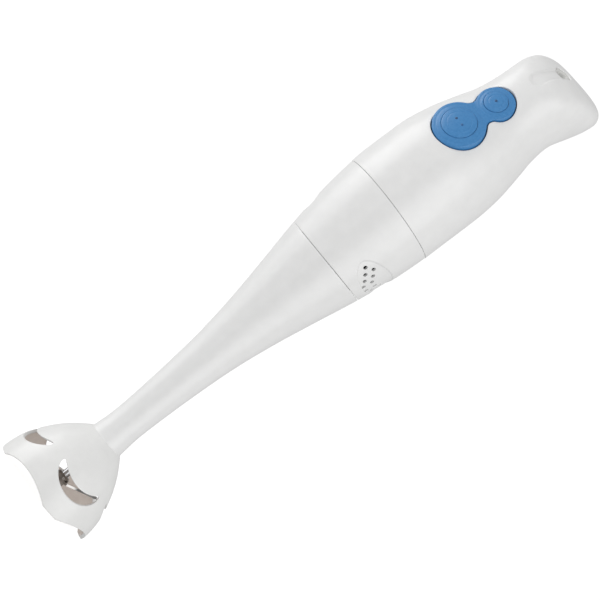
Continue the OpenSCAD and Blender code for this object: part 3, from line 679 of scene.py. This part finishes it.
for side in (0, 180):
    for low, count in VENT_ROWS:
        for i in range(count):
            for flank in (-1, 1):
                a = math.radians(side + flank * (VENT_FIRST + VENT_PITCH * i))
                plane = axes((0, 0, low + VENT_RISE * i), (math.cos(a), math.sin(a), 0), (0, 0, 1))
                collar.opening(outer, inner, plane, circle(0, 0, VENT_R, 24), 0.18, 20.0)
collar_piece = piece("collar_shell", *joined([(collar.v, collar.faces())]
                                             + bayonet_lugs(185, 187.4, 19.3, 21.2)), [white])
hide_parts("motor_collar")
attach(collar_piece, "handle")

# ------------------------------------------------------------------ button plane
# u runs across the plane, v up along it and w out of it; LOBE is the surround, R the cap
BUTTON_Y, BUTTON_Z, TILT = -20.3, 302.7, math.radians(20)
HIGH_V, LOW_V = -11.85, 11.85
HIGH_LOBE, LOW_LOBE, HIGH_R, LOW_R, WAIST = 14.3, 10.4, 9.3, 6.3, 4.5
button_plane = axes((0, BUTTON_Y, BUTTON_Z), (0, -math.cos(TILT), math.sin(TILT)),
                    (0, math.sin(TILT), math.cos(TILT)))


def placed(points):
    """From the buttons' plane to the object's frame."""
    return button_plane[0] + np.asarray(points, float) @ np.array(button_plane[1:])


def peanut(grow):
    """Two lobes joined by a waist."""
    big, small, span = HIGH_LOBE + WAIST, LOW_LOBE + WAIST, LOW_V - HIGH_V
    along = (big**2 - small**2 + span**2) / (2 * span)
    out = math.sqrt(big**2 - along**2)
    waist_v = HIGH_V + along
    turn_big = math.atan2(along, out)
    turn_small = math.atan2(span - along, out)
    pts = []

    def arc(cx, cy, r, a0, a1, n):
        for i in range(n):
            a = a0 + (a1 - a0) * i / n
            pts.append((cx + r * math.cos(a), cy + r * math.sin(a)))

    arc(0, HIGH_V, HIGH_LOBE + grow, -math.pi - turn_big, turn_big, 120)
    arc(out, waist_v, WAIST - grow, math.pi + turn_big, math.pi - turn_small, 24)
    arc(0, LOW_V, LOW_LOBE + grow, -turn_small, math.pi + turn_small, 90)
    arc(-out, waist_v, WAIST - grow, turn_small, -turn_big, 24)
    return Outline(pts)


# ------------------------------------------------------------------ handle
N = 360
CORNER_R = 8
RECESS_LOW = np.array([1.4, -9.6, 339.6])
RECESS_HIGH = np.array([1.0, 4.0, 350.0])
RECESS_DEPTH, RECESS_FLAT, RECESS_R = 0.9, 3.7, 4.9
RECESS_END_Y = 12
INLET_Y, INLET_R = 7, 4.9
HANDLE_LOW = HANDLE_SEAM + GAP
FIRST_RISE = 0.4

angle = np.arange(N) * 2 * math.pi / N


def handle_ring(z, inset):
    """One row of the grip, which follows the sloped seam at its lower end."""
    z = np.full(N, float(z))
    fade = np.maximum(0, 1 - (z - HANDLE_LOW) / 30)
    z = z - SLOPE * 32 * np.sin(angle) * fade
    front, back = read(HANDLE, 1, z), read(HANDLE, 2, z)
    half = read(HANDLE, 3, z) - inset
    p = 2 / read(HANDLE, 4, z)
    deep = (front + back) / 2 - inset
    c, s = np.cos(angle), np.sin(angle)
    x = half * np.sign(c) * np.abs(c)**p
    y = (back - front) / 2 + deep * np.sign(s) * np.abs(s)**p
    return np.stack([x, y, z], 1)


def handle_rows(inset, top, radius, step):
    """Rows from above the seam, over the rounded corner and in across the flat end."""
    rows = [handle_ring(z, inset) for z in np.arange(HANDLE_LOW + FIRST_RISE, top - radius, step)]
    for f in range(0, 86, 6):
        t = math.radians(f)
        rows.append(handle_ring(top - radius + radius * math.sin(t),
                                inset + radius * (1 - math.cos(t))))
    last = rows[-1]
    centre = last.mean(0)
    for share in (0.92, 0.8, 0.65, 0.5, 0.35, 0.2, 0.08):
        ring = centre + (last - centre) * share
        ring[:, 2] = last[:, 2] + (top - last[:, 2]) * (1 - share**2)
        rows.append(ring)
    return rows


def edge_row(inset, rise):
    ring = handle_ring(HANDLE_LOW + FIRST_RISE, inset)
    ring[:, 2] += rise - FIRST_RISE
    return ring


def recessed(rows):
    """The outside rows with the oval recess on the front shoulder, below the cord's inlet."""
    grid = np.array(rows)
    along = np.roll(grid, -1, 1) - np.roll(grid, 1, 1)
    normal = np.cross(along, np.gradient(grid, axis=0))
    normal /= np.maximum(np.linalg.norm(normal, axis=2), 1e-9)[..., None]
    line = RECESS_HIGH - RECESS_LOW
    t = np.clip(((grid - RECESS_LOW) @ line) / (line @ line), 0, 1)
    away = np.linalg.norm(grid - RECESS_LOW - t[..., None] * line, axis=2)
    drop = RECESS_DEPTH * smooth(RECESS_R, RECESS_FLAT, away) * (grid[..., 1] < RECESS_END_Y)
    return list(grid - normal * drop[..., None])


outside = recessed(handle_rows(0, END_Z, CORNER_R, 0.9))
inside = handle_rows(WALL, END_Z - WALL, CORNER_R - WALL, 3.0)
seam_edge = [edge_row(WALL, 0.0), edge_row(0.2, 0.0), edge_row(0.06, 0.08)]
rows = inside[::-1] + seam_edge + outside
handle = Skin(np.concatenate(rows), rows_to_faces(len(rows), N, False))
face_row = np.arange(len(handle.f)) // N
outer = ("outer", face_row >= len(inside) + 2)
inner = ("inner", face_row < len(inside) - 1)
inlet_plane = axes((0, INLET_Y, 300), (0, 0, 1), (0, 1, 0))
handle.opening(outer, inner, button_plane, peanut(0.6), 0.35, -6.0)
handle.opening(outer, inner, inlet_plane, circle(0, 0, INLET_R), 0.4, 30.0)
top_fan = [(len(rows) - 1) * N + j for j in range(N)]
low_fan = list(range(N))[::-1]
handle_piece = piece("handle_body", handle.v, handle.faces() + [top_fan, low_fan], [white])
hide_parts("handle_shell")
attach(handle_piece, "handle")

# ------------------------------------------------------------------ cord gland's lip
LIP_COLUMNS = 72
LIP_HOLE_R, LIP_R = 2.74, 4.78

shoulder = handle.tree(outer)
lip_circle = ring_at(np.arange(LIP_COLUMNS) * 2 * math.pi / LIP_COLUMNS, 1.0, 0.0)


def lip_ring(r, sink):
    """A ring that follows the slope of the shoulder, a little below it."""
    return handle.drop(shoulder, inlet_plane, lip_circle[:, :2] * r) - [0, 0, sink]


def level_ring(r, z):
    return lip_circle * r + [0, INLET_Y, z]


rows = [level_ring(LIP_HOLE_R, 345), level_ring(LIP_R, 345), lip_ring(LIP_R, 1.0),
        lip_ring(4.7, 0.75), lip_ring(4.5, 0.65), lip_ring(3.2, 0.65), lip_ring(2.9, 0.75),
        lip_ring(LIP_HOLE_R, 1.05)]
lip = piece("cord_gland_lip", np.concatenate(rows), rows_to_faces(len(rows), LIP_COLUMNS, True),
            [SLOTS["white_rubber"]])
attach(lip, "handle")

# ------------------------------------------------------------------ membrane and buttons
RIM_W, HIGH_RISE, LOW_RISE, SKIRT_W = 0.7, 2.3, 1.7, -5.5
MEMBRANE_EDGE = 0.45
CAP_GAP, CAP_GROW, CAP_RIM = 0.3, 0.17, 0.35
NO_LIMIT = -99


def groove(r, at, width, depth):
    """The depth of a shallow ring round a lobe."""
    return depth * np.exp(-((r - at) / width)**2)


def membrane_height(q):
    """Points on the crowned top, where two domes run smoothly into each other."""
    r_high = np.hypot(q[:, 0], q[:, 1] - HIGH_V)
    r_low = np.hypot(q[:, 0], q[:, 1] - LOW_V)
    high = RIM_W + HIGH_RISE * (1 - (r_high / HIGH_LOBE)**2)
    low = RIM_W + LOW_RISE * (1 - (r_low / LOW_LOBE)**2)
    base = np.full(len(q), RIM_W)
    k = 0.25
    w = k * np.log(np.exp(high / k) + np.exp(low / k) + np.exp(base / k)) - k * math.log(2)
    w = w - groove(r_high, 12.3, 0.35, 0.16) - groove(r_low, 8.5, 0.35, 0.16)
    return np.stack([q[:, 0], q[:, 1], w], 1)


def under_height(q):
    """Points on the flat underside."""
    return np.column_stack([q, np.full(len(q), SKIRT_W)])


def button_grid(step, height):
    """Points and quads of a rectangular grid over both lobes."""
    us, vs = np.arange(-15.6, 15.7, step), np.arange(-27.4, 23.6, step)
    gu, gv = np.meshgrid(us, vs)
    cols = len(us)
    i, j = np.meshgrid(np.arange(len(vs) - 1), np.arange(cols - 1), indexing="ij")
    base = (i * cols + j).ravel()
    return (height(np.stack([gu.ravel(), gv.ravel()], 1)),
            np.stack([base, base + 1, base + cols + 1, base + cols], 1))


def sunk(points, depth):
    return points - [0, 0, depth]


top_points, top_faces = button_grid(0.4, membrane_height)
low_points, low_faces = button_grid(0.8, under_height)
membrane = Skin(np.concatenate([top_points, low_points]),
                np.concatenate([top_faces, low_faces[:, ::-1] + len(top_points)]))
is_top = np.arange(len(membrane.f)) < len(top_faces)
top, under = ("top", is_top), ("under", ~is_top)
flat_plane = (np.zeros(3), *np.eye(3))
edge = peanut(-MEMBRANE_EDGE)
last, s = membrane.cut(top, flat_plane, edge, 0, NO_LIMIT, keep_inside=True,
                       height=membrane_height)
for turn in (25, 50, 75, 90):
    t = math.radians(turn)
    ids = membrane.add(sunk(membrane_height(edge.at(s, MEMBRANE_EDGE * math.sin(t))),
                            MEMBRANE_EDGE * (1 - math.cos(t))))
    membrane.strip(last, ids, flip=True)
    last = ids
ids = membrane.add(under_height(edge.at(s, MEMBRANE_EDGE)))
membrane.strip(last, ids, flip=True)
loop, s_low = membrane.cut(under, flat_plane, edge, 0, NO_LIMIT, keep_inside=True,
                           height=under_height)
membrane.zip(ids, s, loop, s_low, edge.total, flip=True)
for v, r in ((HIGH_V, HIGH_R + CAP_GAP), (LOW_V, LOW_R + CAP_GAP)):
    rim = circle(0, v, r, 96)
    last, s = membrane.cut(top, flat_plane, rim, 0.15, NO_LIMIT, height=membrane_height)
    for points in (sunk(membrane_height(rim.at(s, 0.04)), 0.06),
                   sunk(membrane_height(rim.at(s)), 0.2), under_height(rim.at(s))):
        ids = membrane.add(points)
        membrane.strip(last, ids)
        last = ids
    loop, s_low = membrane.cut(under, flat_plane, rim, 0.3, NO_LIMIT, height=under_height)
    membrane.zip(last, s, loop, s_low, rim.total)
membrane_piece = piece("membrane_skin", placed(membrane.v), membrane.faces(), [blue])
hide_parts("button_membrane")
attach(membrane_piece, "handle")


def dot(u, v, top, r=0.75, tall=0.25):
    """A small raised dot on a cap."""
    prof = [(0.05, top + tall)]
    for k in range(1, 7):
        a = math.radians(15 * k)
        prof.append((r * math.sin(a), top + tall * math.cos(a)))
    prof += [(r, top - 0.6), (0.05, top - 0.6)]
    p, f = turned(prof[::-1], 24)
    return p + [u, v, 0], f


def cap(name, node, body, centre_v, cap_r, lobe_r, rise, dots, rings):
    """A domed cap with the stem that reaches its plunger; dots are (u, v, material)."""
    def dome(r):
        return RIM_W + rise * (1 - (r / lobe_r)**2) + 0.25

    rim = CAP_RIM
    cap_r += CAP_GROW
    stem = [(0.05, -10.4), (1.8, -10.4), (2, -10.2), (2, -4.2), (2.2, -4)]
    prof = stem + [(cap_r - 0.2, -4), (cap_r, -3.8), (cap_r, dome(cap_r) - rim)]
    for k in (30, 60, 90):
        a = math.radians(k)
        prof.append((cap_r - rim * (1 - math.cos(a)), dome(cap_r) - rim + rim * math.sin(a)))
    for r in np.arange(cap_r - rim - 0.15, 0.2, -0.15):
        w = dome(r) - sum(groove(r, at, width, depth) for at, width, depth in rings)
        prof.append((float(r), float(w)))
    prof.append((0.05, float(dome(0))))
    body_p, body_f = turned(prof, 128)
    parts = [(body_p + [0, centre_v, 0], body_f)]
    which = [0] * len(body_f)
    for u, v, material in dots:
        p, f = dot(u, centre_v + v, dome(math.hypot(u, v)))
        parts.append((p, f))
        which += [material] * len(f)
    points, faces = joined(parts)
    obj = piece(name, placed(points), faces, [blue, blue_dot, dark_dot], which)
    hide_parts(node)
    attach(obj, body)


cap("high_speed_cap", "high_speed_button", "high_button", HIGH_V, HIGH_R, HIGH_LOBE, HIGH_RISE,
    [(-2.5, 0, 2), (2.5, 0, 1)], [(6.6, 0.3, 0.1)])
cap("low_speed_cap", "low_speed_button", "low_button", LOW_V, LOW_R, LOW_LOBE, LOW_RISE,
    [(0, 0, 2)], [(4.1, 0.3, 0.12)])

# ------------------------------------------------------------------ carried-over parts
for row in frame["record"]["subparts"]:
    node = frame["nodes"][row["node"]]
    node.data.materials.clear()
    node.data.materials.append(SLOTS[row["material_slot"]])

# ------------------------------------------------------------------ stage, light, camera
AZ, EL, ROLL = math.radians(26.3), math.radians(0.7), math.radians(39.304)
DISTANCE, AIM = 1.5793, 0.169249
out = Vector((math.sin(AZ) * math.cos(EL), -math.cos(AZ) * math.cos(EL), math.sin(EL)))
right = Vector((math.cos(AZ), math.sin(AZ), 0))
up = right.cross(-out)
cam_x = up * math.cos(ROLL) + right * math.sin(ROLL)
cam_y = up * math.sin(ROLL) - right * math.cos(ROLL)
target = Vector((0, 0, AIM))


def looking(axis_x, axis_y, axis_z, place):
    """The matrix of something that looks back along axis_z."""
    m = Matrix((axis_x, axis_y, axis_z)).transposed().to_4x4()
    m.translation = place
    return m


LENS, SENSOR = 180, 36
SHIFT_X, SHIFT_Y = 0.0163, -0.0165
data = bpy.data.cameras.new("camera")
data.lens, data.sensor_width = LENS, SENSOR
data.shift_x, data.shift_y = SHIFT_X, SHIFT_Y
data.clip_end = 50
camera = bpy.data.objects.new("camera", data)
camera.matrix_world = looking(cam_x, cam_y, out, target + out * DISTANCE)
bpy.context.scene.collection.objects.link(camera)
bpy.context.scene.camera = camera


def softbox(name, direction, distance, width, height, watts):
    """A large area light that faces the object's middle."""
    light = bpy.data.lights.new(name, "AREA")
    light.shape = "RECTANGLE"
    light.size, light.size_y, light.energy = width, height, watts
    obj = bpy.data.objects.new(name, light)
    d = direction.normalized()
    side = Vector((0, 0, 1)).cross(d).normalized()
    obj.matrix_world = looking(side, d.cross(side), d, target + d * distance)
    bpy.context.scene.collection.objects.link(obj)


across = cam_x * math.sin(ROLL) - cam_y * math.cos(ROLL)


def from_side(degrees):
    """A direction across the object, 0 towards the camera and 90 to its lower right."""
    a = math.radians(degrees)
    return out * math.cos(a) + across * math.sin(a)


softbox("key_softbox", from_side(-90), 1.6, 1.2, 2.0, 26)
softbox("fill_softbox", from_side(42), 1.6, 1.4, 2.0, 19)

# the camera sees a white world, which lights the object more dimly
LIT, SEEN = 0.56, 1.05
world = bpy.data.worlds.new("world")
bpy.context.scene.world = world
world.use_nodes = True
sky = world.node_tree
seen = sky.nodes.new("ShaderNodeLightPath")
strength = sky.nodes.new("ShaderNodeMapRange")
strength.inputs["To Min"].default_value = LIT
strength.inputs["To Max"].default_value = SEEN
sky.links.new(seen.outputs["Is Camera Ray"], strength.inputs["Value"])
sky.links.new(strength.outputs["Result"], sky.nodes["Background"].inputs["Strength"])
sky.nodes["Background"].inputs["Color"].default_value = (1, 1, 1, 1)

# the floor is a hair below the feet and gives the object no light
bpy.ops.mesh.primitive_plane_add(size=40, location=(0, 0, -0.0005))
floor = bpy.context.object
floor.name = "floor"
pale = bpy.data.materials.new("pale_floor")
pale.use_nodes = True
shader = pale.node_tree.nodes["Principled BSDF"]
shader.inputs["Base Color"].default_value = (0.45, 0.45, 0.45, 1)
shader.inputs["Roughness"].default_value = 0.9
shader.inputs["Specular IOR Level"].default_value = 0.0
shader.inputs["Emission Color"].default_value = (1, 1, 1, 1)
shader.inputs["Emission Strength"].default_value = 0.85
floor.data.materials.append(pale)
floor.visible_diffuse = False
floor.visible_glossy = False

bpy.context.scene.view_settings.view_transform = "Standard"
bpy.context.scene.view_settings.look = "None"
